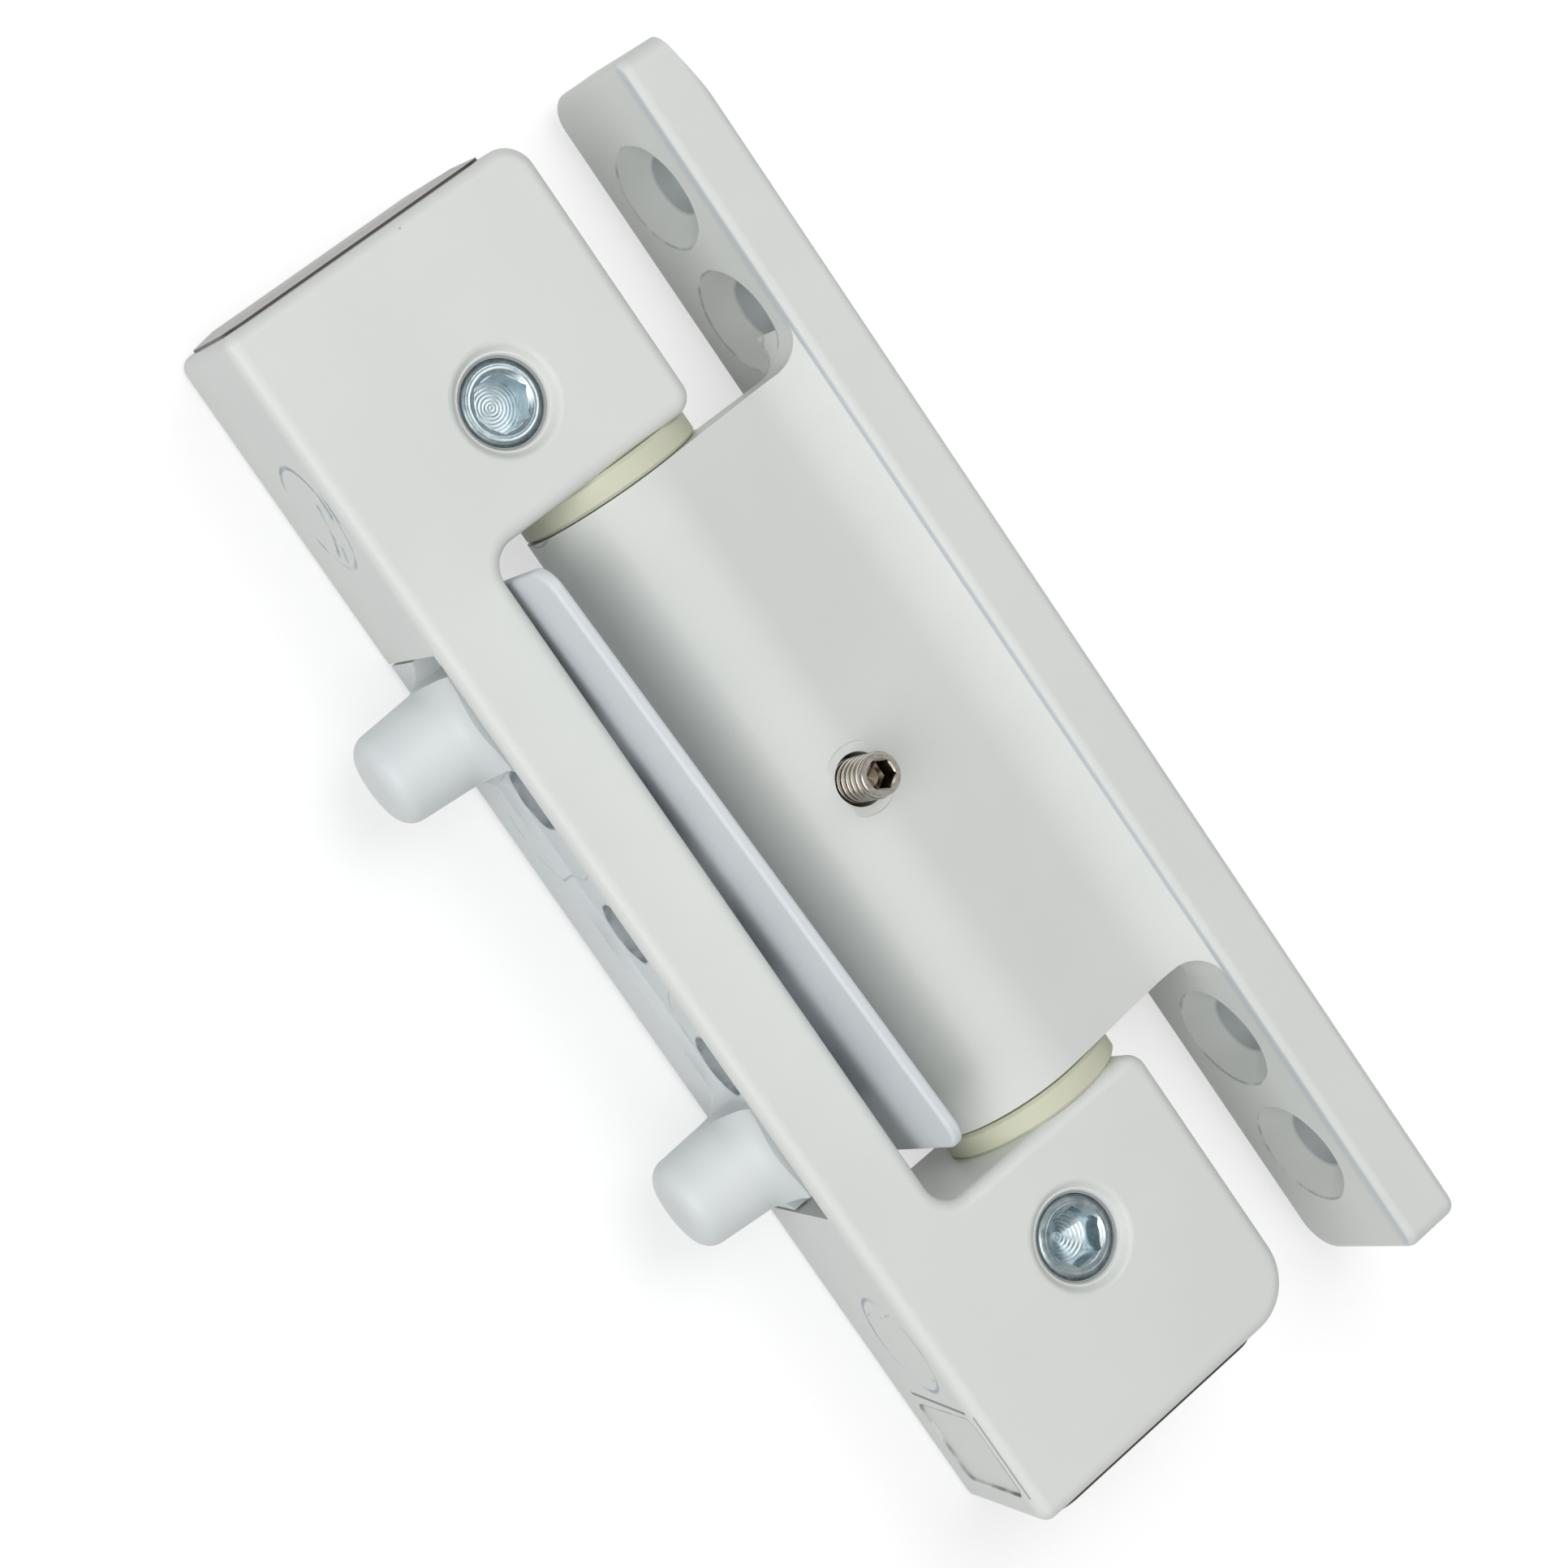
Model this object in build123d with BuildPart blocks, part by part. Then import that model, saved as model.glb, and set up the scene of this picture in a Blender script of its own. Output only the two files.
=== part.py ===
"""Adjustable butt hinge for an entrance door, in millimetres, lying on its back.

X runs from the door frame to the leaf, Y along the pin and Z up out of the front face.
All stations below are measured from the pin axis at the middle of the hinge body's length.
"""
from build123d import *
from math import cos, radians, sin, tan
import os

os.makedirs("parts", exist_ok=True)

# Hinge body: a die-cast C, its spine on the frame side and a lobe at each end
BODY_LENGTH = 130.0
BODY_FRONT = 9.07
BODY_BACK = -9.40
BODY_LEFT = -26.55
BODY_RIGHT = 7.95
SIDE_SLANT = 7.6
SPINE_RIGHT = -17.20
GAP_HALF = 36.15
GAP_CORNER = 2.8
LOBE_CORNER = 2.0
UPPER_END_CORNER = 3.0
LOWER_END_CORNER = 5.5
FRONT_EDGE = 1.3
FRONT_WALL = 1.60
SIDE_WALL = 3.20

# Window in the slanted side, where the carrier shows
WINDOW_BOTTOM = -30.0
WINDOW_TOP = 32.0

# Carrier: the cast part that is screwed to the door frame
CARRIER_BOTTOM = -27.8
CARRIER_TOP = 29.7
CARRIER_SET = 0.05
CARRIER_BACK = -4.0
RAIL_BACK = -9.2
RAIL_END_GAP = 0.25
RAIL_INNER = -23.0
CHANNEL_DEPTH = 0.95
CHANNEL_LOW = -1.6
CHANNEL_BOTTOM = -17.8
CHANNEL_TOP = 19.6
CHANNEL_CORNER = 1.2
CARRIER_EDGE = 0.8
STUD_UPPER = 24.6
STUD_LOWER = -22.7
STUD_ROOT_RADIUS = 5.0
STUD_TIP_RADIUS = 4.5
STUD_LENGTH = 9.64
STUD_TIP_EDGE = 2.0
STUD_BLEND = 2.8
STUD_BOSS = 1.1
COVE_SINK = 0.1
FRAME_HOLE_RADIUS = 3.2
FRAME_HOLE_HEIGHT = 2.35
FRAME_HOLE_PITCH = 14.8
FRAME_HOLE_MIDDLE = 1.0
ARM_THICKNESS = 3.8
ARM_FRONT = 3.4
LUG_THICKNESS = 3.0
LUG_HALF_WIDTH = 4.2

# Depth adjustment: the body slides on the carrier by this much each way
DEPTH_TRAVEL = 1.2
TRAVEL_SPARE = 0.15
SLIDE_CLEARANCE = 0.5

# Depth screws, M8, held by their necks in the carrier's lugs and threaded in the body
SCREW_X = -7.60
SCREW_SETBACK = 10.25
SCREW_RADIUS = 4.0
SCREW_TOP = 8.10
SCREW_SOCKET_FLOOR = 5.20
SCREW_SOCKET_FLATS = 5.0
SCREW_TOP_CHAMFER = 0.5
SCREW_SOCKET_MOUTH = 3.05
SOCKET_MOUTH_DEPTH = 0.3
NECK_RADIUS = 2.25
NECK_PLAY = 0.06
COLLAR_RADIUS = 3.2
COLLAR_THICKNESS = 2.0
THREAD_CLEARANCE = 0.05
DRILL_POINT = 1.1
SCREW_RECESS_RADIUS = 5.2
SCREW_RECESS_DEPTH = 0.75
RECESS_EDGE = 0.7
BORE_MOUTH = 0.4
BOSS_DEPTH = 4.20
CAVITY_RIGHT = -3.5
CAVITY_END_SPARE = 1.0

# Pin and its bushes
PIN_RADIUS = 4.0
PIN_SETBACK = 5.0
PIN_END_SPARE = 0.5
PIN_CHAMFER = 0.6
PIN_SEAT_DEPTH = 0.5
PIN_SEAT_HALF = 2.8
RUNNING_FIT = 0.05
FLANGE_SETBACK = 0.13
BUSH_FLANGE = 2.4
BUSH_FLANGE_EDGE = 0.3
BUSH_SLEEVE_RADIUS = 5.5
BUSH_SLEEVE_LENGTH = 5.2
BUSH_PRESS = 0.02
UPPER_END_FLOAT = 0.10
LOWER_END_FLOAT = 0.28

# Leaf: barrel, web and plate in one casting, screwed to the door sash
BARREL_RADIUS = 9.33
WEB_SLOPE = 10.0
WEB_NECK_X = 13.9
WEB_STEP = 0.9
WEB_BACK = 3.4
WEB_BACK_BLEND = 2.0
WEB_BLEND = 3.2
WEB_ROOT = 1.2
PLATE_LEFT = 19.94
PLATE_RIGHT = 26.42
PLATE_FRONT = 9.33
PLATE_BACK = -8.44
PLATE_BOTTOM = -69.3
PLATE_TOP = 65.1
PLATE_EDGE = 1.0
PLATE_TOP_CORNER = 3.0
PLATE_FOOT_CORNER = 3.6
PLATE_FRONT_CORNER = 1.6
PLATE_TAPER = 1.5
PLATE_TAPER_RUN = 8.0
SASH_HOLE_RADIUS = 3.15
SASH_SINK_RADIUS = 5.575
SASH_HOLE_HEIGHT = 0.46
SASH_HOLE_PITCH = 13.75
SASH_PAIR_OFFSET = 48.2
SASH_HOLES_MIDDLE = -2.45

# Set screw that locks the pin in the barrel, M5, standing proud of the barrel
SET_SCREW_RADIUS = 2.5
SET_SCREW_TOP = 13.5
SET_SCREW_Y = -0.1
SET_SCREW_FLATS = 2.5
SET_SCREW_SOCKET = 2.6
SET_SCREW_CHAMFER = 0.45
SPOT_FACE_RADIUS = 3.5
SPOT_FACE_HEIGHT = 9.05

# Guard strip: folded sheet on the carrier, covering the frame screws
STRIP_LEFT = -15.68
STRIP_SHEET = 1.2
STRIP_SETBACK = 4.0
STRIP_MIDDLE = 1.15
STRIP_SKEW = 1.7
STRIP_FRONT = 14.8
STRIP_CORNER = 2.4
STRIP_EDGE = 0.4
STRIP_FOOT_INSET = 4.6
STRIP_FOOT_WIDTH = 6.0
STRIP_BEND = 1.6
STRIP_SCREW_SETBACK = 4.6
STRIP_SCREW_HALF_PITCH = 18.0
STRIP_SCREW_RADIUS = 1.25
STRIP_SCREW_HEAD_RADIUS = 2.0
STRIP_SCREW_LENGTH = 4.9
STRIP_SCREW_FIT = 0.05

# End caps: thin plates with a plug in the hollow end of each lobe
CAP_THICKNESS = 0.7
CAP_INSET = 0.45
CAP_CORNER = 2.6
CAP_EDGE = 0.4
CAP_CROWN = 2.4
CAP_PLUG_DEPTH = 3.0
CAP_PLUG_FIT = 0.10
POCKET_LEFT = -21.8
POCKET_RIGHT = -6.2
POCKET_FRONT = 5.4
POCKET_BACK = -5.4
POCKET_DEPTH = 10.5
POCKET_CORNER = 1.5

# Bare label field on the slanted side
LABEL_SETBACK = 7.7
LABEL_LENGTH = 9.0
LABEL_WIDTH = 14.0
LABEL_HEIGHT = 0.9
LABEL_DEPTH = 0.25
LABEL_CORNER = 1.2

# Stations worked out from the sizes above
SLOPE = tan(radians(SIDE_SLANT))
SIDE_COS = cos(radians(SIDE_SLANT))
SIDE_SIN = sin(radians(SIDE_SLANT))
BODY_HALF = BODY_LENGTH / 2
BODY_HEIGHT = BODY_FRONT - BODY_BACK
SIDE_X = BODY_LEFT + BODY_FRONT * SLOPE
SIDE_FOOT_X = BODY_LEFT + BODY_HEIGHT * SLOPE
CARRIER_OUTER = SIDE_X + CARRIER_SET
CARRIER_X = CARRIER_OUTER + CHANNEL_DEPTH
WALL_UNDERSIDE = BODY_FRONT - FRONT_WALL
SCREW_Y = GAP_HALF + SCREW_SETBACK
STRIP_LENGTH = 2 * (GAP_HALF - STRIP_SETBACK)
BUSH_FLANGE_RADIUS = BARREL_RADIUS - FLANGE_SETBACK
PIN_HALF = BODY_HALF - PIN_SETBACK
CARRIER_FRONT = WALL_UNDERSIDE - DEPTH_TRAVEL - TRAVEL_SPARE
SIDE_WALL_INNER = SIDE_FOOT_X + SIDE_WALL / 2
ARM_LEFT = SIDE_WALL_INNER + SLIDE_CLEARANCE
CARRIER_INNER = ARM_LEFT + ARM_THICKNESS
BOSS_UNDERSIDE = BODY_FRONT - BOSS_DEPTH
LUG_TOP = BOSS_UNDERSIDE - DEPTH_TRAVEL - TRAVEL_SPARE
LUG_BOTTOM = LUG_TOP - LUG_THICKNESS
NECK_TOP = LUG_TOP + NECK_PLAY
NECK_BOTTOM = LUG_BOTTOM - NECK_PLAY
COLLAR_BOTTOM = NECK_BOTTOM - COLLAR_THICKNESS
LUG_INNER = SCREW_Y - LUG_HALF_WIDTH
LUG_OUTER = SCREW_Y + LUG_HALF_WIDTH
CAVITY_OUTER = LUG_OUTER + CAVITY_END_SPARE
CAVITY_INNER = LUG_INNER - SLIDE_CLEARANCE
LUG_TIP = SCREW_X + NECK_RADIUS
BARREL_TOP = GAP_HALF - BUSH_FLANGE - UPPER_END_FLOAT
BARREL_BOTTOM = -(GAP_HALF - BUSH_FLANGE - LOWER_END_FLOAT)
WEB_START_X = BARREL_RADIUS * sin(radians(WEB_SLOPE))
WEB_START_Z = BARREL_RADIUS * cos(radians(WEB_SLOPE))
WEB_NECK_Z = WEB_START_Z - (WEB_NECK_X - WEB_START_X) * tan(radians(WEB_SLOPE))
STRIP_FOOT_BACK = CARRIER_BACK - STRIP_SHEET
LONG = 200.0

# Row frame: the origin is under the middle of the bounding box, on the floor
STUD_REACH = CARRIER_OUTER - (STUD_LENGTH - STUD_TIP_EDGE) * SIDE_COS
STUD_REACH -= (STUD_TIP_RADIUS - STUD_TIP_EDGE) * SIDE_SIN + STUD_TIP_EDGE
PIN_X = -(PLATE_RIGHT + STUD_REACH) / 2
PIN_Y = -(BODY_HALF + CAP_THICKNESS + PLATE_BOTTOM) / 2
PIN_Z = -BODY_BACK


def level(z):
    """Sketch plane parallel to the floor, with the pin's X and Y."""
    return Plane(origin=(PIN_X, PIN_Y, PIN_Z + z))


def section(y):
    """Sketch plane square to the pin, with the pin's X and Z; it extrudes towards -Y."""
    return Plane(origin=(PIN_X, PIN_Y + y, PIN_Z), x_dir=(1, 0, 0), z_dir=(0, -1, 0))


def slanted(x, y=0.0):
    """Sketch plane on the frame side's slant through x at pin height; its x is -Y."""
    out = (-SIDE_COS, 0, -SIDE_SIN)
    return Plane(origin=(PIN_X + x, PIN_Y + y, PIN_Z), x_dir=(0, -1, 0), z_dir=out)


def plate_side(x):
    """Sketch plane on the leaf plate, facing the pin; its x is -Y and its y is Z."""
    return Plane(origin=(PIN_X + x, PIN_Y, PIN_Z), x_dir=(0, -1, 0), z_dir=(-1, 0, 0))


def strip_level(z):
    """Sketch plane parallel to the floor in the guard strip's own, slightly turned frame."""
    return Plane(origin=(PIN_X + STRIP_LEFT, PIN_Y + STRIP_MIDDLE, PIN_Z + z),
                 x_dir=(cos(radians(STRIP_SKEW)), sin(radians(STRIP_SKEW)), 0))


def strip_section(y):
    """Sketch plane square to the guard strip's length; it extrudes towards its lower end."""
    turned = strip_level(0)
    return Plane(origin=turned.origin + turned.y_dir * y, x_dir=turned.x_dir, z_dir=-turned.y_dir)


def block(x0, x1, y0, y1, z0, z1, mode=Mode.ADD):
    """A box between stations, in the part that is being built."""
    with BuildSketch(level(z0)) as base:
        with Locations(((x0 + x1) / 2, (y0 + y1) / 2)):
            Rectangle(x1 - x0, y1 - y0)
    extrude(base.sketch, amount=z1 - z0, mode=mode)


# Hinge body
with BuildPart() as hinge_body:
    with BuildSketch(level(BODY_BACK)):
        with BuildLine():
            Polyline(
                (BODY_LEFT, -BODY_HALF), (BODY_RIGHT, -BODY_HALF), (BODY_RIGHT, -GAP_HALF),
                (SPINE_RIGHT, -GAP_HALF), (SPINE_RIGHT, GAP_HALF), (BODY_RIGHT, GAP_HALF),
                (BODY_RIGHT, BODY_HALF), (BODY_LEFT, BODY_HALF), close=True)
        make_face()
        fillet(vertices().filter_by(lambda v: abs(v.X - SPINE_RIGHT) < 0.01), GAP_CORNER)
        lobe_side = vertices().group_by(Axis.X)[-1].sort_by(Axis.Y)
        fillet(lobe_side[1:3], LOBE_CORNER)
        fillet(vertices().group_by(Axis.X)[-1].sort_by(Axis.Y)[0], LOWER_END_CORNER)
        fillet(vertices().group_by(Axis.X)[-1].sort_by(Axis.Y)[-1], UPPER_END_CORNER)
    extrude(amount=BODY_HEIGHT)
    with BuildSketch(section(0)):
        with BuildLine():
            Polyline((BODY_LEFT, BODY_FRONT), (SIDE_FOOT_X, BODY_BACK), (BODY_LEFT - 5, BODY_BACK),
                     (BODY_LEFT - 5, BODY_FRONT), close=True)
        make_face()
    extrude(amount=LONG, both=True, mode=Mode.SUBTRACT)
    left_ends = faces().sort_by(Axis.X)[0].edges().filter_by(Axis.Y, reverse=True)
    fillet(faces().sort_by(Axis.Z)[-1].edges() + left_ends, FRONT_EDGE)

    # Room for the carrier behind the front wall, its arms and its lugs, all open at the back
    block(SIDE_WALL_INNER, SPINE_RIGHT + 0.01, -CAVITY_OUTER, CAVITY_OUTER,
          BODY_BACK, BOSS_UNDERSIDE, Mode.SUBTRACT)
    block(SIDE_WALL_INNER, SPINE_RIGHT + 0.01, -GAP_HALF, GAP_HALF,
          BODY_BACK, WALL_UNDERSIDE, Mode.SUBTRACT)
    block(BODY_LEFT - 1, SIDE_WALL_INNER + 0.01, WINDOW_BOTTOM, WINDOW_TOP,
          BODY_BACK, WALL_UNDERSIDE, Mode.SUBTRACT)
    for side in (1, -1):
        near, far = sorted((side * CAVITY_INNER, side * CAVITY_OUTER))
        block(SPINE_RIGHT, CAVITY_RIGHT, near, far, BODY_BACK, BOSS_UNDERSIDE, Mode.SUBTRACT)

    # Threaded bores and rounded recesses of the two depth screws
    with BuildSketch(level(BODY_FRONT)):
        with Locations((SCREW_X, SCREW_Y), (SCREW_X, -SCREW_Y)):
            Circle(SCREW_RADIUS + THREAD_CLEARANCE)
    extrude(amount=-BOSS_DEPTH, mode=Mode.SUBTRACT)
    with BuildSketch(level(BODY_FRONT)):
        with Locations((SCREW_X, SCREW_Y), (SCREW_X, -SCREW_Y)):
            Circle(SCREW_RECESS_RADIUS)
    extrude(amount=-SCREW_RECESS_DEPTH, taper=40, mode=Mode.SUBTRACT)
    fillet(edges().filter_by(GeomType.CIRCLE).group_by(Axis.Z)[-1], RECESS_EDGE)
    with BuildSketch(level(BODY_FRONT - SCREW_RECESS_DEPTH)):
        with Locations((SCREW_X, SCREW_Y), (SCREW_X, -SCREW_Y)):
            Circle(SCREW_RADIUS + BORE_MOUTH)
    extrude(amount=-BORE_MOUTH, taper=30, mode=Mode.SUBTRACT)

    # Bores of the bushes and of the pin, which goes in from the top and stops in a blind bore
    for side in (1, -1):
        with BuildSketch(section(side * GAP_HALF)):
            Circle(BUSH_SLEEVE_RADIUS)
        extrude(amount=-side * (BUSH_SLEEVE_LENGTH + 0.2), mode=Mode.SUBTRACT)
        pin_bore_end = BODY_HALF if side > 0 else PIN_HALF + PIN_END_SPARE
        with BuildSketch(section(side * GAP_HALF)):
            Circle(PIN_RADIUS + RUNNING_FIT)
        extrude(amount=-side * (pin_bore_end - GAP_HALF), mode=Mode.SUBTRACT)
        with BuildSketch(section(side * BODY_HALF)):
            with Locations(((POCKET_LEFT + POCKET_RIGHT) / 2, (POCKET_FRONT + POCKET_BACK) / 2)):
                RectangleRounded(POCKET_RIGHT - POCKET_LEFT, POCKET_FRONT - POCKET_BACK, POCKET_CORNER)
        extrude(amount=side * POCKET_DEPTH, mode=Mode.SUBTRACT)

    # Bare label field
    label_plane = slanted(SIDE_X)
    with BuildSketch(label_plane):
        with Locations((BODY_HALF - LABEL_SETBACK, LABEL_HEIGHT)):
            RectangleRounded(LABEL_LENGTH, LABEL_WIDTH, LABEL_CORNER)
    extrude(amount=-LABEL_DEPTH, mode=Mode.SUBTRACT)
hinge_body.part.label = "hinge_body"
export_step(hinge_body.part, "parts/hinge_body.step")


def end_cap(side, end_corner):
    """Cap for one end; side is 1 at the top and -1 at the bottom."""
    right = BODY_RIGHT - end_corner - CAP_INSET / 2
    front = BODY_FRONT - FRONT_EDGE
    back = BODY_BACK + CAP_INSET
    plug_width = POCKET_RIGHT - POCKET_LEFT - 2 * CAP_PLUG_FIT
    plug_height = POCKET_FRONT - POCKET_BACK - 2 * CAP_PLUG_FIT
    with BuildPart() as cap:
        with BuildSketch(section(side * BODY_HALF)):
            with BuildLine():
                Polyline((SIDE_X - front * SLOPE + FRONT_EDGE, front), (right, front), (right, back),
                         (SIDE_X - back * SLOPE + FRONT_EDGE, back), close=True)
            make_face()
            fillet(vertices(), CAP_CORNER)
        extrude(amount=-side * CAP_THICKNESS)
        outer_face = faces().sort_by(Axis.Y)[-1 if side > 0 else 0]
        chamfer(outer_face.edges(), CAP_CROWN, CAP_EDGE, reference=outer_face)
        with BuildSketch(section(side * BODY_HALF)):
            with Locations(((POCKET_LEFT + POCKET_RIGHT) / 2, (POCKET_FRONT + POCKET_BACK) / 2)):
                RectangleRounded(plug_width, plug_height, POCKET_CORNER - CAP_PLUG_FIT)
        extrude(amount=side * CAP_PLUG_DEPTH)
    return cap.part


for cap_name, cap_side, cap_corner in (("end_cap_upper", 1, UPPER_END_CORNER),
                                       ("end_cap_lower", -1, LOWER_END_CORNER)):
    cap_part = end_cap(cap_side, cap_corner)
    cap_part.label = cap_name
    export_step(cap_part, f"parts/{cap_name}.step")


# Carrier: a plate in the body's window, with a rail along its back that is flush with the body's side
with BuildPart() as carrier:
    with BuildSketch(section(CARRIER_TOP)):
        with BuildLine():
            Polyline((CARRIER_OUTER - CARRIER_FRONT * SLOPE, CARRIER_FRONT), (CARRIER_INNER, CARRIER_FRONT),
                     (CARRIER_INNER, CARRIER_BACK), (CARRIER_OUTER - CARRIER_BACK * SLOPE, CARRIER_BACK),
                     close=True)
        make_face()
        fillet(vertices().group_by(Axis.Y)[-1].sort_by(Axis.X)[0], CARRIER_EDGE)
    extrude(amount=CARRIER_TOP - CARRIER_BOTTOM)
    with BuildSketch(section(WINDOW_TOP - RAIL_END_GAP)):
        with BuildLine():
            Polyline((CARRIER_OUTER - CHANNEL_LOW * SLOPE, CHANNEL_LOW), (RAIL_INNER, CHANNEL_LOW),
                     (RAIL_INNER, RAIL_BACK), (CARRIER_OUTER - RAIL_BACK * SLOPE, RAIL_BACK), close=True)
        make_face()
    extrude(amount=WINDOW_TOP - WINDOW_BOTTOM - 2 * RAIL_END_GAP)

    # Studs that sit in holes of the door frame, each with a cove down to the carrier's outer face
    for stud_y in (STUD_UPPER, STUD_LOWER):
        stud_foot = (PIN_X + CARRIER_OUTER, PIN_Y + stud_y, PIN_Z)
        cove_radius = STUD_ROOT_RADIUS + STUD_BLEND
        with BuildSketch(Plane(origin=stud_foot, x_dir=(0, 1, 0), z_dir=(-SIDE_SIN, 0, SIDE_COS))):
            with BuildLine():
                Polyline((STUD_ROOT_RADIUS, STUD_BLEND - COVE_SINK), (STUD_TIP_RADIUS, STUD_LENGTH),
                         (0, STUD_LENGTH), (0, -STUD_BOSS), (cove_radius, -STUD_BOSS),
                         (cove_radius, -COVE_SINK))
                TangentArc((cove_radius, -COVE_SINK), (STUD_ROOT_RADIUS, STUD_BLEND - COVE_SINK),
                           tangent=(-1, 0))
            make_face()
            fillet(vertices().group_by(Axis.Y)[-1].sort_by(Axis.X)[-1], STUD_TIP_EDGE)
        revolve(axis=Axis(stud_foot, (-SIDE_COS, 0, -SIDE_SIN)))

    # The coves end where the plate and the rail end; then the channel that the frame screws go through
    cove_left = CARRIER_X - 3 * STUD_BLEND
    rail_ends = (WINDOW_BOTTOM + RAIL_END_GAP, WINDOW_TOP - RAIL_END_GAP)
    block(cove_left, CARRIER_INNER, -LONG, LONG, CARRIER_FRONT, LONG, Mode.SUBTRACT)
    block(cove_left, CARRIER_INNER, CARRIER_TOP, LONG, CHANNEL_LOW, LONG, Mode.SUBTRACT)
    block(cove_left, CARRIER_INNER, -LONG, CARRIER_BOTTOM, CHANNEL_LOW, LONG, Mode.SUBTRACT)
    block(cove_left, CARRIER_INNER, rail_ends[1], LONG, -LONG, LONG, Mode.SUBTRACT)
    block(cove_left, CARRIER_INNER, -LONG, rail_ends[0], -LONG, LONG, Mode.SUBTRACT)
    with BuildSketch(slanted(CARRIER_X)):
        with Locations((-(CHANNEL_BOTTOM + CHANNEL_TOP) / 2, CHANNEL_LOW + CARRIER_FRONT)):
            Rectangle(CHANNEL_TOP - CHANNEL_BOTTOM, 2 * CARRIER_FRONT)
        fillet(vertices().group_by(Axis.Y)[0], CHANNEL_CORNER)
    extrude(amount=LONG / 10, mode=Mode.SUBTRACT)
    block(ARM_LEFT, CARRIER_INNER, -LUG_OUTER, LUG_OUTER, CARRIER_BACK, ARM_FRONT)
    for side in (1, -1):
        near, far = sorted((side * LUG_INNER, side * LUG_OUTER))
        block(ARM_LEFT, LUG_TIP, near, far, LUG_BOTTOM, LUG_TOP)

    # Forks that hold the necks of the depth screws
    with BuildSketch(level(LUG_BOTTOM)):
        with Locations((SCREW_X, SCREW_Y), (SCREW_X, -SCREW_Y)):
            Circle(NECK_RADIUS + RUNNING_FIT)
        with Locations((SCREW_X + SCREW_RADIUS, SCREW_Y), (SCREW_X + SCREW_RADIUS, -SCREW_Y)):
            Rectangle(2 * SCREW_RADIUS, 2 * (NECK_RADIUS + RUNNING_FIT))
    extrude(amount=LUG_THICKNESS, mode=Mode.SUBTRACT)

    # Screw holes
    with BuildSketch(slanted(CARRIER_X)):
        with Locations((-FRAME_HOLE_MIDDLE, FRAME_HOLE_HEIGHT)):
            with GridLocations(FRAME_HOLE_PITCH, 0, 3, 1):
                Circle(FRAME_HOLE_RADIUS)
    extrude(amount=LONG / 10, both=True, mode=Mode.SUBTRACT)

    # Threaded holes of the guard strip's screws
    with BuildSketch(strip_level(CARRIER_BACK)):
        with Locations((-STRIP_SCREW_SETBACK, 0)):
            with GridLocations(0, 2 * STRIP_SCREW_HALF_PITCH, 1, 2):
                Circle(STRIP_SCREW_RADIUS + STRIP_SCREW_FIT)
    extrude(amount=STRIP_SCREW_LENGTH, mode=Mode.SUBTRACT)
carrier.part.label = "carrier"
export_step(carrier.part, "parts/carrier.step")


# Guard strip, drawn in its own frame: x from its frame-side face, y from its middle
with BuildPart() as guard_strip:
    with BuildSketch(strip_section(STRIP_LENGTH / 2)):
        with BuildLine():
            Polyline((0, STRIP_FRONT), (STRIP_SHEET, STRIP_FRONT), (STRIP_SHEET, STRIP_FOOT_BACK),
                     (-STRIP_FOOT_WIDTH, STRIP_FOOT_BACK), (-STRIP_FOOT_WIDTH, CARRIER_BACK),
                     (0, CARRIER_BACK), close=True)
        make_face()
        heel = vertices().group_by(Axis.Y)[0].sort_by(Axis.X)[-1]
        fillet([heel], STRIP_BEND)
    extrude(amount=STRIP_LENGTH)
    with BuildSketch(strip_level(STRIP_FOOT_BACK - 1)):
        for end in (1, -1):
            with Locations((-STRIP_FOOT_WIDTH / 2 - 1, end * STRIP_LENGTH / 2)):
                Rectangle(STRIP_FOOT_WIDTH + 2, 2 * STRIP_FOOT_INSET)
    extrude(amount=STRIP_SHEET + 2, mode=Mode.SUBTRACT)
    fillet(edges().filter_by(lambda e: e.length < 1.01 * STRIP_SHEET).group_by(Axis.Z)[-1], STRIP_CORNER)
    front_edges = edges().group_by(Axis.Z)[-1].filter_by(lambda e: e.length > STRIP_LENGTH / 2)
    fillet(front_edges, STRIP_EDGE)
    with BuildSketch(strip_level(STRIP_FOOT_BACK)):
        with Locations((-STRIP_SCREW_SETBACK, 0)):
            with GridLocations(0, 2 * STRIP_SCREW_HALF_PITCH, 1, 2):
                Circle(STRIP_SCREW_HEAD_RADIUS + STRIP_SCREW_FIT)
    extrude(amount=STRIP_SCREW_HEAD_RADIUS - STRIP_SCREW_RADIUS, taper=45, mode=Mode.SUBTRACT)
    with BuildSketch(strip_level(STRIP_FOOT_BACK)):
        with Locations((-STRIP_SCREW_SETBACK, 0)):
            with GridLocations(0, 2 * STRIP_SCREW_HALF_PITCH, 1, 2):
                Circle(STRIP_SCREW_RADIUS + STRIP_SCREW_FIT)
    extrude(amount=STRIP_SHEET, mode=Mode.SUBTRACT)
guard_strip.part.label = "guard_strip"
export_step(guard_strip.part, "parts/guard_strip.step")

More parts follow.
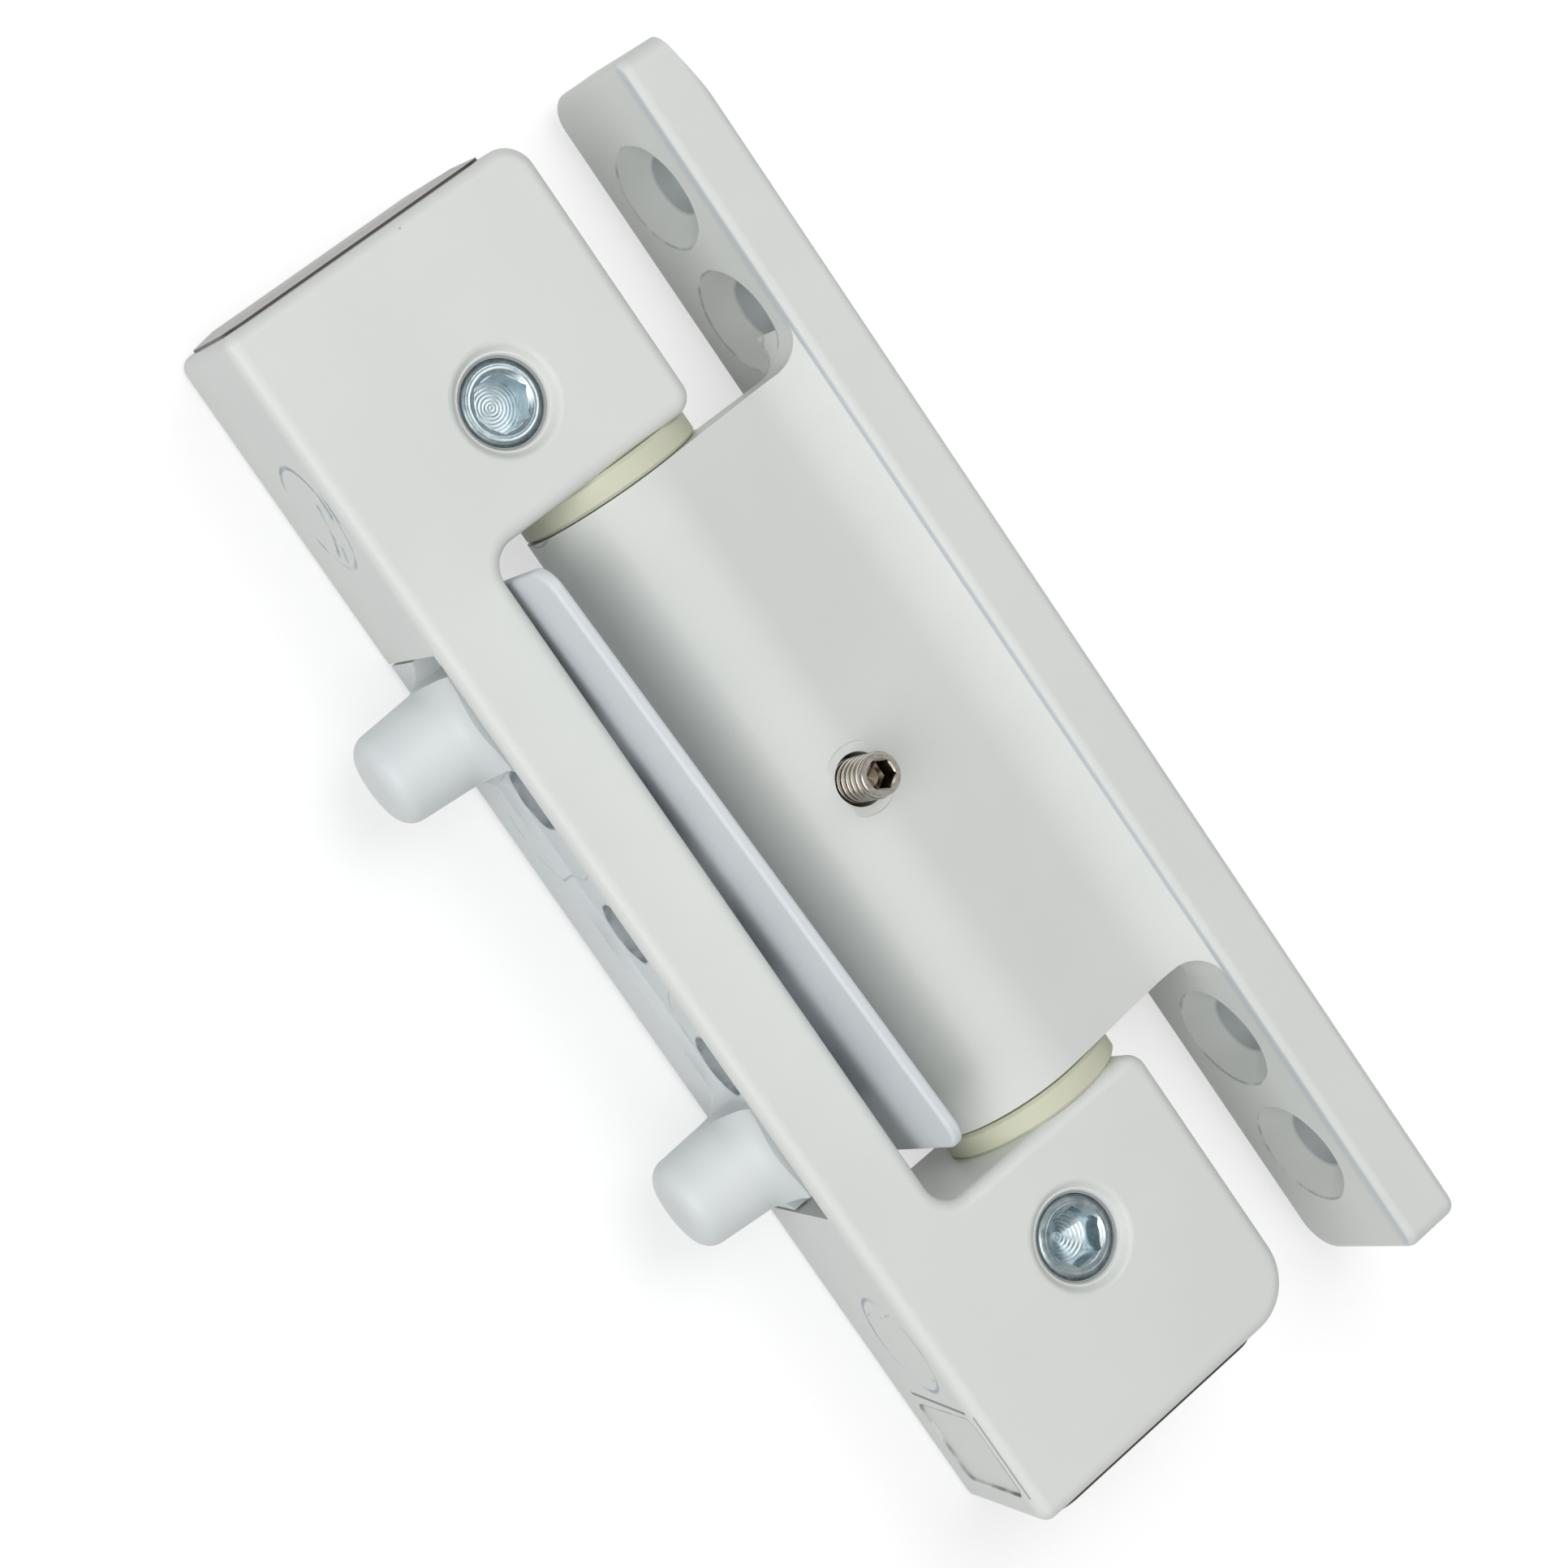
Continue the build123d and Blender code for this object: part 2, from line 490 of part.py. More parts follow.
with BuildPart() as strip_screws:
    with BuildSketch(strip_level(STRIP_FOOT_BACK)):
        with Locations((-STRIP_SCREW_SETBACK, 0)):
            with GridLocations(0, 2 * STRIP_SCREW_HALF_PITCH, 1, 2):
                Circle(STRIP_SCREW_HEAD_RADIUS)
    extrude(amount=STRIP_SCREW_HEAD_RADIUS - STRIP_SCREW_RADIUS, taper=45)
    with BuildSketch(strip_level(STRIP_FOOT_BACK)):
        with Locations((-STRIP_SCREW_SETBACK, 0)):
            with GridLocations(0, 2 * STRIP_SCREW_HALF_PITCH, 1, 2):
                Circle(STRIP_SCREW_RADIUS)
    extrude(amount=STRIP_SCREW_LENGTH)
    with BuildSketch(strip_level(STRIP_FOOT_BACK)):
        with Locations((-STRIP_SCREW_SETBACK, 0)):
            with GridLocations(0, 2 * STRIP_SCREW_HALF_PITCH, 1, 2):
                RegularPolygon(STRIP_SCREW_RADIUS * 0.7, 6)
    extrude(amount=STRIP_SCREW_RADIUS * 0.7, mode=Mode.SUBTRACT)
strip_screws.part.label = "strip_screws"
export_step(strip_screws.part, "parts/strip_screws.step")


def depth_screw(y, pointed):
    """Depth screw at station y; its socket floor is flat, or pointed as a drill leaves it."""
    with BuildPart() as screw:
        screw_section = Plane(origin=(PIN_X + SCREW_X, PIN_Y + y, PIN_Z), x_dir=(1, 0, 0), z_dir=(0, -1, 0))
        with BuildSketch(screw_section):
            with BuildLine():
                Polyline((0, COLLAR_BOTTOM), (COLLAR_RADIUS, COLLAR_BOTTOM), (COLLAR_RADIUS, NECK_BOTTOM),
                         (NECK_RADIUS, NECK_BOTTOM), (NECK_RADIUS, NECK_TOP), (SCREW_RADIUS, NECK_TOP),
                         (SCREW_RADIUS, SCREW_TOP - SCREW_TOP_CHAMFER),
                         (SCREW_RADIUS - SCREW_TOP_CHAMFER, SCREW_TOP), (0, SCREW_TOP), close=True)
            make_face()
        revolve(axis=Axis((PIN_X + SCREW_X, PIN_Y + y, PIN_Z), (0, 0, 1)))
        with BuildSketch(level(SCREW_TOP)):
            with Locations((SCREW_X, y)):
                RegularPolygon(SCREW_SOCKET_FLATS / 2, 6, major_radius=False)
        extrude(amount=SCREW_SOCKET_FLOOR - SCREW_TOP, mode=Mode.SUBTRACT)
        with BuildSketch(level(SCREW_TOP)):
            with Locations((SCREW_X, y)):
                Circle(SCREW_SOCKET_MOUTH)
        extrude(amount=-SOCKET_MOUTH_DEPTH, taper=55, mode=Mode.SUBTRACT)
        if pointed:
            with BuildSketch(level(SCREW_SOCKET_FLOOR)):
                with Locations((SCREW_X, y)):
                    Circle(SCREW_SOCKET_FLATS / 2 - 0.1)
            extrude(amount=-DRILL_POINT, taper=60, mode=Mode.SUBTRACT)
    return screw.part


for screw_name, screw_y, screw_pointed in (("depth_screw_upper", SCREW_Y, False),
                                           ("depth_screw_lower", -SCREW_Y, True)):
    screw_part = depth_screw(screw_y, screw_pointed)
    screw_part.label = screw_name
    export_step(screw_part, f"parts/{screw_name}.step")


def bush(side):
    """Flanged nylon bush: the flange shows beside the lobe and the sleeve sits in its bore."""
    with BuildPart() as flanged_bush:
        with BuildSketch(section(side * GAP_HALF)):
            Circle(BUSH_FLANGE_RADIUS)
        extrude(amount=side * BUSH_FLANGE)
        chamfer(edges().filter_by(GeomType.CIRCLE), BUSH_FLANGE_EDGE)
        with BuildSketch(section(side * GAP_HALF)):
            Circle(BUSH_SLEEVE_RADIUS - BUSH_PRESS)
        extrude(amount=-side * BUSH_SLEEVE_LENGTH)
        with BuildSketch(section(0)):
            Circle(PIN_RADIUS + RUNNING_FIT)
        extrude(amount=LONG, both=True, mode=Mode.SUBTRACT)
    return flanged_bush.part


for bush_name, bush_side in (("bush_upper", 1), ("bush_lower", -1)):
    bush_part = bush(bush_side)
    bush_part.label = bush_name
    export_step(bush_part, f"parts/{bush_name}.step")


# Pin, with a flat seat for the set screw
with BuildPart() as hinge_pin:
    with BuildSketch(section(PIN_HALF)):
        Circle(PIN_RADIUS)
    extrude(amount=2 * PIN_HALF)
    chamfer(edges().filter_by(GeomType.CIRCLE), PIN_CHAMFER)
    block(-PIN_RADIUS, PIN_RADIUS, SET_SCREW_Y - PIN_SEAT_HALF, SET_SCREW_Y + PIN_SEAT_HALF,
          PIN_RADIUS - PIN_SEAT_DEPTH, PIN_RADIUS + 1, Mode.SUBTRACT)
hinge_pin.part.label = "hinge_pin"
export_step(hinge_pin.part, "parts/hinge_pin.step")


# Web of the leaf: it slopes down from the barrel, sweeps up to the plate and flares out along it
with BuildPart() as web:
    with BuildSketch(section(BARREL_TOP + WEB_BLEND + 1)):
        with BuildLine():
            Line((WEB_START_X, WEB_START_Z), (WEB_NECK_X, WEB_NECK_Z))
            TangentArc((WEB_NECK_X, WEB_NECK_Z), (PLATE_LEFT, PLATE_FRONT - WEB_STEP),
                       tangent=(cos(radians(WEB_SLOPE)), -sin(radians(WEB_SLOPE))))
            Polyline((PLATE_LEFT, PLATE_FRONT - WEB_STEP), (PLATE_LEFT + WEB_ROOT, PLATE_FRONT - WEB_STEP),
                     (PLATE_LEFT + WEB_ROOT, WEB_BACK - WEB_BACK_BLEND),
                     (PLATE_LEFT, WEB_BACK - WEB_BACK_BLEND))
            TangentArc((PLATE_LEFT, WEB_BACK - WEB_BACK_BLEND), (PLATE_LEFT - WEB_BACK_BLEND, WEB_BACK),
                       tangent=(0, 1))
            Polyline((PLATE_LEFT - WEB_BACK_BLEND, WEB_BACK), (WEB_START_X, WEB_BACK),
                     (WEB_START_X, WEB_START_Z))
        make_face()
    extrude(amount=BARREL_TOP - BARREL_BOTTOM + 2 * (WEB_BLEND + 1))
    with BuildSketch(level(0)):
        with Locations((PLATE_LEFT / 2, (BARREL_TOP + BARREL_BOTTOM) / 2)):
            Rectangle(PLATE_LEFT, BARREL_TOP - BARREL_BOTTOM)
        with Locations((PLATE_LEFT + WEB_ROOT / 2, (BARREL_TOP + BARREL_BOTTOM) / 2)):
            Rectangle(WEB_ROOT, BARREL_TOP - BARREL_BOTTOM + 2 * WEB_BLEND)
        inner_corners = vertices().group_by(Axis.X)[1].sort_by(Axis.Y)
        fillet(inner_corners[1:3], WEB_BLEND)
    extrude(amount=PLATE_FRONT, mode=Mode.INTERSECT)

# Leaf for the door sash
with BuildPart() as sash_leaf:
    with BuildSketch(plate_side(PLATE_LEFT)):
        with BuildLine():
            Polyline((-PLATE_TOP, PLATE_BACK), (-PLATE_TOP, PLATE_FRONT), (-PLATE_BOTTOM, PLATE_FRONT),
                     (-PLATE_BOTTOM, PLATE_BACK), close=True)
        make_face()
        fillet(vertices().group_by(Axis.Y)[-1], PLATE_FRONT_CORNER)
        fillet(vertices().group_by(Axis.Y)[0].sort_by(Axis.X)[0], PLATE_TOP_CORNER)
        fillet(vertices().group_by(Axis.Y)[0].sort_by(Axis.X)[-1], PLATE_FOOT_CORNER)
    extrude(amount=PLATE_LEFT - PLATE_RIGHT)
    fillet(faces().filter_by(Axis.X).edges(), PLATE_EDGE)
    with BuildSketch(level(BODY_BACK - 2)):
        with BuildLine():
            Polyline((PLATE_RIGHT - PLATE_TAPER, PLATE_TOP + 1), (PLATE_RIGHT - PLATE_TAPER, PLATE_TOP),
                     (PLATE_RIGHT, PLATE_TOP - PLATE_TAPER_RUN),
                     (PLATE_RIGHT + 1, PLATE_TOP - PLATE_TAPER_RUN), (PLATE_RIGHT + 1, PLATE_TOP + 1),
                     close=True)
        make_face()
    extrude(amount=LONG / 5, mode=Mode.SUBTRACT)

    # Web and barrel
    add(web.part)
    with BuildSketch(section(BARREL_TOP)):
        Circle(BARREL_RADIUS)
    extrude(amount=BARREL_TOP - BARREL_BOTTOM)
    with BuildSketch(section(0)):
        Circle(PIN_RADIUS)
    extrude(amount=LONG, both=True, mode=Mode.SUBTRACT)

    # Countersunk holes, a pair at each end
    with BuildSketch(plate_side(PLATE_RIGHT)):
        with Locations((-SASH_HOLES_MIDDLE, SASH_HOLE_HEIGHT)):
            with GridLocations(2 * SASH_PAIR_OFFSET, 0, 2, 1):
                with GridLocations(SASH_HOLE_PITCH, 0, 2, 1):
                    Circle(SASH_HOLE_RADIUS)
    extrude(amount=PLATE_RIGHT - PLATE_LEFT, mode=Mode.SUBTRACT)
    with BuildSketch(plate_side(PLATE_LEFT)):
        with Locations((-SASH_HOLES_MIDDLE, SASH_HOLE_HEIGHT)):
            with GridLocations(2 * SASH_PAIR_OFFSET, 0, 2, 1):
                with GridLocations(SASH_HOLE_PITCH, 0, 2, 1):
                    Circle(SASH_SINK_RADIUS)
    extrude(amount=-(SASH_SINK_RADIUS - SASH_HOLE_RADIUS), taper=45, mode=Mode.SUBTRACT)

    # Threaded hole and spot face of the set screw
    with BuildSketch(level(0)):
        with Locations((0, SET_SCREW_Y)):
            Circle(SET_SCREW_RADIUS + THREAD_CLEARANCE)
    extrude(amount=LONG / 10, mode=Mode.SUBTRACT)
    with BuildSketch(level(SPOT_FACE_HEIGHT)):
        with Locations((0, SET_SCREW_Y)):
            Circle(SPOT_FACE_RADIUS)
    extrude(amount=LONG / 10, mode=Mode.SUBTRACT)
sash_leaf.part.label = "sash_leaf"
export_step(sash_leaf.part, "parts/sash_leaf.step")


# Set screw with a hexagon socket
with BuildPart() as pin_set_screw:
    with BuildSketch(level(PIN_RADIUS - PIN_SEAT_DEPTH)):
        with Locations((0, SET_SCREW_Y)):
            Circle(SET_SCREW_RADIUS)
    extrude(amount=SET_SCREW_TOP - PIN_RADIUS + PIN_SEAT_DEPTH)
    chamfer(edges().filter_by(GeomType.CIRCLE), SET_SCREW_CHAMFER)
    with BuildSketch(level(SET_SCREW_TOP)):
        with Locations((0, SET_SCREW_Y)):
            RegularPolygon(SET_SCREW_FLATS / 2, 6, major_radius=False)
    extrude(amount=-SET_SCREW_SOCKET, mode=Mode.SUBTRACT)
pin_set_screw.part.label = "pin_set_screw"
export_step(pin_set_screw.part, "parts/pin_set_screw.step")
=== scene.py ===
"""Looks of the adjustable butt hinge: powder-coated castings, nylon bushes, zinc and stainless screws."""
import bpy
import math
from mathutils import Matrix, Vector


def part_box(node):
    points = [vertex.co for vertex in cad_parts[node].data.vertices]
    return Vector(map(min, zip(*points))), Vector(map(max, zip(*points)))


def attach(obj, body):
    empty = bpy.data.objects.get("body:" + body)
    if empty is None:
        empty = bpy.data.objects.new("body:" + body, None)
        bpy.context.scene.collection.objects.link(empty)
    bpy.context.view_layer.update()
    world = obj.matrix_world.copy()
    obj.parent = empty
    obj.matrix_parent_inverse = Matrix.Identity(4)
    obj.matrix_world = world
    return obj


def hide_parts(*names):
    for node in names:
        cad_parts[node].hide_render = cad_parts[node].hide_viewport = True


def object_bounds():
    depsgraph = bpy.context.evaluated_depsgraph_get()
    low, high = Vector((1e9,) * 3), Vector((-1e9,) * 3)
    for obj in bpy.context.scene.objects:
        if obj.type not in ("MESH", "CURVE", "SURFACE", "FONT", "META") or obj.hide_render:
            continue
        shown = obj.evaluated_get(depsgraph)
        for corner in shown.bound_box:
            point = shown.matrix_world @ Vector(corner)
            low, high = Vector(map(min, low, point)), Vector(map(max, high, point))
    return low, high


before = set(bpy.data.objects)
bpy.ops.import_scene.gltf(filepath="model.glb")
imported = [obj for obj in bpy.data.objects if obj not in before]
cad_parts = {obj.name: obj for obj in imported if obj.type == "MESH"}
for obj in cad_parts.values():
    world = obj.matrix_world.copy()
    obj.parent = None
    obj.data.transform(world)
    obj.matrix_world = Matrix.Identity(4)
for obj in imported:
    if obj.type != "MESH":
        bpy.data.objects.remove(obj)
cad_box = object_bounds()

MM = 0.001
bpy.context.scene.view_settings.view_transform = "Standard"

# The pin, read from its CAD node: every place below is in millimetres from its middle
pin_low, pin_high = (Vector(corner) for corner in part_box("hinge_pin"))
PIN = (pin_low + pin_high) / 2


def at(x, y, z):
    """A point in the row frame from millimetres measured from the middle of the pin."""
    return PIN + Vector((x, y, z)) * MM


# Camera, solved from the photograph: where it stands from the pin, and how it is turned
CAMERA_FROM_PIN = (-166.56, 74.46, 381.78)
CAMERA_RIGHT = Vector((0.71911, -0.55781, 0.41440))
CAMERA_DOWN = Vector((-0.57594, -0.81210, -0.09372))
CAMERA_FORWARD = Vector((0.38882, -0.17127, -0.90526))
CAMERA_LENS = 105.10
CAMERA_SENSOR = 36.0


def place_camera():
    """The photograph's camera."""
    data = bpy.data.cameras.new("photo_camera")
    data.lens = CAMERA_LENS
    data.sensor_width = CAMERA_SENSOR
    data.clip_start = 0.01
    data.clip_end = 20.0
    camera = bpy.data.objects.new("photo_camera", data)
    turn = Matrix((CAMERA_RIGHT, -CAMERA_DOWN, -CAMERA_FORWARD)).transposed()
    camera.matrix_world = Matrix.Translation(at(*CAMERA_FROM_PIN)) @ turn.to_4x4()
    bpy.context.scene.collection.objects.link(camera)
    bpy.context.scene.camera = camera


place_camera()


# Colours and nodes
def srgb(hex_colour):
    """Linear colour with alpha from an sRGB hex value such as #d6d8d5."""
    channels = [int(hex_colour[i:i + 2], 16) / 255 for i in (1, 3, 5)]
    linear = [c / 12.92 if c <= 0.04045 else ((c + 0.055) / 1.055) ** 2.4 for c in channels]
    return (*linear, 1.0)


def add(tree, kind, inputs=None, **settings):
    """Adds one node; an input's value is a number, a colour or another node's output socket."""
    node = tree.nodes.new(kind)
    for name, value in settings.items():
        setattr(node, name, value)
    for key, value in (inputs or {}).items():
        if isinstance(value, bpy.types.NodeSocket):
            tree.links.new(value, node.inputs[key])
        else:
            node.inputs[key].default_value = value
    return node


def maths(tree, operation, *values):
    """The result of a Math node."""
    return add(tree, "ShaderNodeMath", dict(enumerate(values)), operation=operation).outputs[0]


def vector_maths(tree, operation, *vectors):
    """The result of a Vector Math node: a number for a length, a distance or a dot product, else a vector."""
    outputs = add(tree, "ShaderNodeVectorMath", dict(enumerate(vectors)), operation=operation).outputs
    return outputs["Value" if operation in ("LENGTH", "DISTANCE", "DOT_PRODUCT") else "Vector"]


def scaled(tree, vector, factor, **settings):
    """A vector times a number."""
    inputs = {0: vector, "Scale": factor}
    return add(tree, "ShaderNodeVectorMath", inputs, operation="SCALE", **settings).outputs[0]


def parts(tree, vector):
    """The x, y and z of a vector."""
    return add(tree, "ShaderNodeSeparateXYZ", {0: vector}).outputs


def joined(tree, x, y, z=0.0):
    """A vector from its x, y and z."""
    return add(tree, "ShaderNodeCombineXYZ", {0: x, 1: y, 2: z}).outputs[0]


def ramp(tree, value, start, end, low=0.0, high=1.0, **settings):
    """Goes from low, where the value is start or before it, to high, where it is end or beyond."""
    return add(tree, "ShaderNodeMapRange", {"Value": value, "From Min": start, "From Max": end,
                                            "To Min": low, "To Max": high}, **settings).outputs[0]


def noise(tree, mm, size_mm, detail):
    """Noise from 0 to 1, with blobs about size_mm wide."""
    return add(tree, "ShaderNodeTexNoise", {"Vector": mm, "Scale": 1 / size_mm, "Detail": detail}).outputs[0]


def paint_over(tree, mask, under, over):
    """Colour under where the mask is 0 and over where it is 1."""
    return add(tree, "ShaderNodeMix", {0: mask, 6: under, 7: over}, data_type="RGBA").outputs[2]


def start_material(name):
    """A material with its tree, its shader and coordinates in millimetres from the pin."""
    material = bpy.data.materials.new(name)
    material.use_nodes = True
    tree = material.node_tree
    place = add(tree, "ShaderNodeTexCoord").outputs["Object"]
    from_pin = vector_maths(tree, "SUBTRACT", place, tuple(PIN))
    mm = scaled(tree, from_pin, 1 / MM, name="millimetres")
    return material, tree, tree.nodes["Principled BSDF"], mm


def mottle(tree, shader, pattern, colour, other):
    """Base colour between two tones, along a pattern from 0 to 1."""
    tree.links.new(paint_over(tree, pattern, srgb(colour), srgb(other)), shader.inputs["Base Color"])


def vary_gloss(tree, shader, pattern, least, most):
    """Roughness from least to most, along a pattern from 0 to 1."""
    tree.links.new(ramp(tree, pattern, 0.0, 1.0, least, most), shader.inputs["Roughness"])


BUMP_HEIGHT = 0.02 * MM


def roughen(tree, shader, height, strength):
    """Fine bumps where the height goes up and down."""
    bump = add(tree, "ShaderNodeBump", {"Height": height, "Strength": strength, "Distance": BUMP_HEIGHT})
    tree.links.new(bump.outputs[0], shader.inputs["Normal"])


# Where noise breaks a mark up: below the first value nothing is left of it, above the second all of it
BROKEN = (0.42, 0.58)


def draw(material, colour, strength, mask_of, broken_mm=0.0):
    """Marks painted over a material's colour, where mask_of(tree, mm) is 1; broken_mm breaks them up."""
    tree = material.node_tree
    base = tree.nodes["Principled BSDF"].inputs["Base Color"]
    mm = tree.nodes["millimetres"].outputs[0]
    mask = maths(tree, "MULTIPLY", mask_of(tree, mm), strength)
    if broken_mm:
        mask = maths(tree, "MULTIPLY", mask, ramp(tree, noise(tree, mm, broken_mm, 3.0), *BROKEN))
    tree.links.new(paint_over(tree, mask, base.links[0].from_socket, srgb(colour)), base)


# Marks: masks in millimetres, drawn on a flat place such as the slanted frame side
SIDE_SLANT = math.radians(7.6)
FRAME_SIDE_END = -20.0
FAR_MM = 1000.0


def on_slant(tree, mm):
    """Along the pin and up the slanted frame side; what isn't on that side is put far away."""
    x, y, z = parts(tree, mm)
    up = maths(tree, "MULTIPLY", z, 1 / math.cos(SIDE_SLANT))
    elsewhere = maths(tree, "GREATER_THAN", x, FRAME_SIDE_END)
    return joined(tree, y, up, maths(tree, "MULTIPLY", elsewhere, FAR_MM))


def between(tree, value, low, high, soft):
    """1 where the value lies between low and high, with soft edges."""
    rise = ramp(tree, value, low - soft, low)
    fall = ramp(tree, value, high + soft, high)
    return maths(tree, "MULTIPLY", rise, fall)


def line_at(tree, value, middle, width):
    """A soft line where the value is near the middle, of the width in which it fades."""
    return between(tree, value, middle - width / 4, middle + width / 4, width / 2)


def ring_mark(tree, place, centre, radius, width):
    """A ring, as an ejector pin leaves it."""
    away = vector_maths(tree, "DISTANCE", place, (*centre, 0.0))
    return line_at(tree, away, radius, width)


def stroke_mark(tree, place, start, end, width):
    """A straight scratch from start to end."""
    start, end = Vector((*start, 0.0)), Vector((*end, 0.0))
    along = tuple((end - start).normalized())
    from_start = vector_maths(tree, "SUBTRACT", place, tuple(start))
    run = vector_maths(tree, "DOT_PRODUCT", from_start, along)
    held = add(tree, "ShaderNodeClamp", {"Value": run, "Max": (end - start).length}).outputs[0]
    return line_at(tree, vector_maths(tree, "DISTANCE", from_start, scaled(tree, along, held)), 0.0, width)


def box_outline(tree, place, centre, size, corner, width):
    """The outline of a rounded box."""
    inner = (size[0] / 2 - corner, size[1] / 2 - corner, 0.0)
    off = vector_maths(tree, "ABSOLUTE", vector_maths(tree, "SUBTRACT", place, (*centre, 0.0)))
    beyond = vector_maths(tree, "MAXIMUM", vector_maths(tree, "SUBTRACT", off, inner), (0.0, 0.0, 0.0))
    return line_at(tree, vector_maths(tree, "LENGTH", beyond), corner, width)


def on_side(mark, *sizes):
    """A mark on the slanted frame side, for draw()."""
    return lambda tree, mm: mark(tree, on_slant(tree, mm), *sizes)


def band(distance, low, high, soft):
    """A band round holes, from low to high away from their axes, for draw()."""
    return lambda tree, mm: between(tree, distance(tree, mm), low, high, soft)


def left_of(limit, mask_of):
    """A mask, but only where x is under the limit, for draw()."""
    def mask(tree, mm):
        under = maths(tree, "LESS_THAN", parts(tree, mm)[0], limit)
        return maths(tree, "MULTIPLY", mask_of(tree, mm), under)
    return mask


def fold(tree, value, half):
    """Lays the places at plus and minus half on 0."""
    return maths(tree, "SUBTRACT", maths(tree, "ABSOLUTE", value), half)


# Hole axes. The leaf has two pairs of holes, the body one depth screw at each end, the carrier three holes
SASH_HOLES_MIDDLE_Y = -2.45
SASH_PAIR_Y = 48.2
SASH_HOLE_HALF_SPACING = 6.875
SASH_HOLE_Z = 0.46
DEPTH_SCREW_X = -7.6
DEPTH_SCREW_Y = 46.4
FRAME_HOLES_MIDDLE_Y = 1.0
FRAME_HOLE_SPACING = 14.8
FRAME_HOLE_UP = 2.35
FRAME_HOLES_END = 19.0
STUDS_FROM_X = -25.6
OFF_HOLES_MM = 50.0


def sash_hole_distance(tree, mm):
    """Distance from the nearest of the leaf's four hole axes."""
    _, y, z = parts(tree, mm)
    from_pair = fold(tree, maths(tree, "SUBTRACT", y, SASH_HOLES_MIDDLE_Y), SASH_PAIR_Y)
    place = joined(tree, fold(tree, from_pair, SASH_HOLE_HALF_SPACING), z)
    return vector_maths(tree, "DISTANCE", place, (0.0, SASH_HOLE_Z, 0.0))


def depth_screw_distance(tree, mm):
    """Distance from the nearer depth screw's axis."""
    x, y, _ = parts(tree, mm)
    place = joined(tree, x, maths(tree, "ABSOLUTE", y))
    return vector_maths(tree, "DISTANCE", place, (DEPTH_SCREW_X, DEPTH_SCREW_Y, 0.0))


def frame_hole_distance(tree, mm):
    """Distance from the nearest of the carrier's three hole axes; its ends and its studs count as far off."""
    x = parts(tree, mm)[0]
    y, up, _ = parts(tree, on_slant(tree, mm))
    from_first = maths(tree, "SUBTRACT", y, FRAME_HOLES_MIDDLE_Y - 1.5 * FRAME_HOLE_SPACING)
    repeated = maths(tree, "MODULO", from_first, FRAME_HOLE_SPACING)
    place = joined(tree, maths(tree, "SUBTRACT", repeated, FRAME_HOLE_SPACING / 2), up)
    away = vector_maths(tree, "DISTANCE", place, (0.0, FRAME_HOLE_UP, 0.0))
    from_middle = maths(tree, "ABSOLUTE", maths(tree, "SUBTRACT", y, FRAME_HOLES_MIDDLE_Y))
    at_end = maths(tree, "GREATER_THAN", from_middle, FRAME_HOLES_END)
    on_stud = maths(tree, "LESS_THAN", x, STUDS_FROM_X)
    return maths(tree, "MULTIPLY_ADD", maths(tree, "ADD", at_end, on_stud), OFF_HOLES_MM, away)


# Powder coat on zinc and steel: an even half-gloss skin, a faint orange peel, slow clouds and a few specks
PEEL_MM = 1.4
CLOUD_MM = 18.0
SPECK_SPACING_MM = 8.0
SPECK_SIZE_MM = 0.13
SPECK_EDGE = 1.4
SPECK_STRENGTH = 0.5


def powder_coat(name, colour="#e6e8e4", shade="#e2e5e2", roughness=0.42):
    material, tree, shader, mm = start_material(name)
    cloud = ramp(tree, noise(tree, mm, CLOUD_MM, 3.0), 0.35, 0.65)
    skin = paint_over(tree, cloud, srgb(colour), srgb(shade))
    cells = add(tree, "ShaderNodeTexVoronoi", {"Vector": mm, "Scale": 1 / SPECK_SPACING_MM})
    size = SPECK_SIZE_MM / SPECK_SPACING_MM
    speck = ramp(tree, cells.outputs["Distance"], SPECK_EDGE * size, size, 0.0, SPECK_STRENGTH)
    tree.links.new(paint_over(tree, speck, skin, srgb("#8d9089")), shader.inputs["Base Color"])
    roughen(tree, shader, noise(tree, mm, PEEL_MM, 2.0), 0.22)
    shader.inputs["Roughness"].default_value = roughness
    shader.inputs["IOR"].default_value = 1.5
    shader.inputs["Coat Weight"].default_value = 0.08
    shader.inputs["Coat Roughness"].default_value = 0.2
    return material


# Body casting: ejector pins left faint rings and scratches on its slanted side, beside the bare label field
EJECTOR_BLUE = "#7f94a6"
UPPER_SCRATCHES = (((50.2, 6.3), (47.1, 5.7)), ((47.1, 5.7), (42.0, 0.1)), ((48.2, 3.6), (45.0, 1.7)),
                   ((45.0, 1.7), (42.2, -2.2)), ((49.4, 7.2), (46.4, 6.9)))
LOWER_SCRATCHES = (((-41.2, 5.2), (-41.8, 2.0)), ((-48.6, 5.6), (-48.9, 3.4)), ((-41.0, 0.2), (-41.9, -1.4)))
FIELD_GREY = "#4b5356"
FIELD_CENTRE = (-57.3, 0.9)
FIELD_SIZE = (9.0, 14.0)
FIELD_CORNER = 1.2


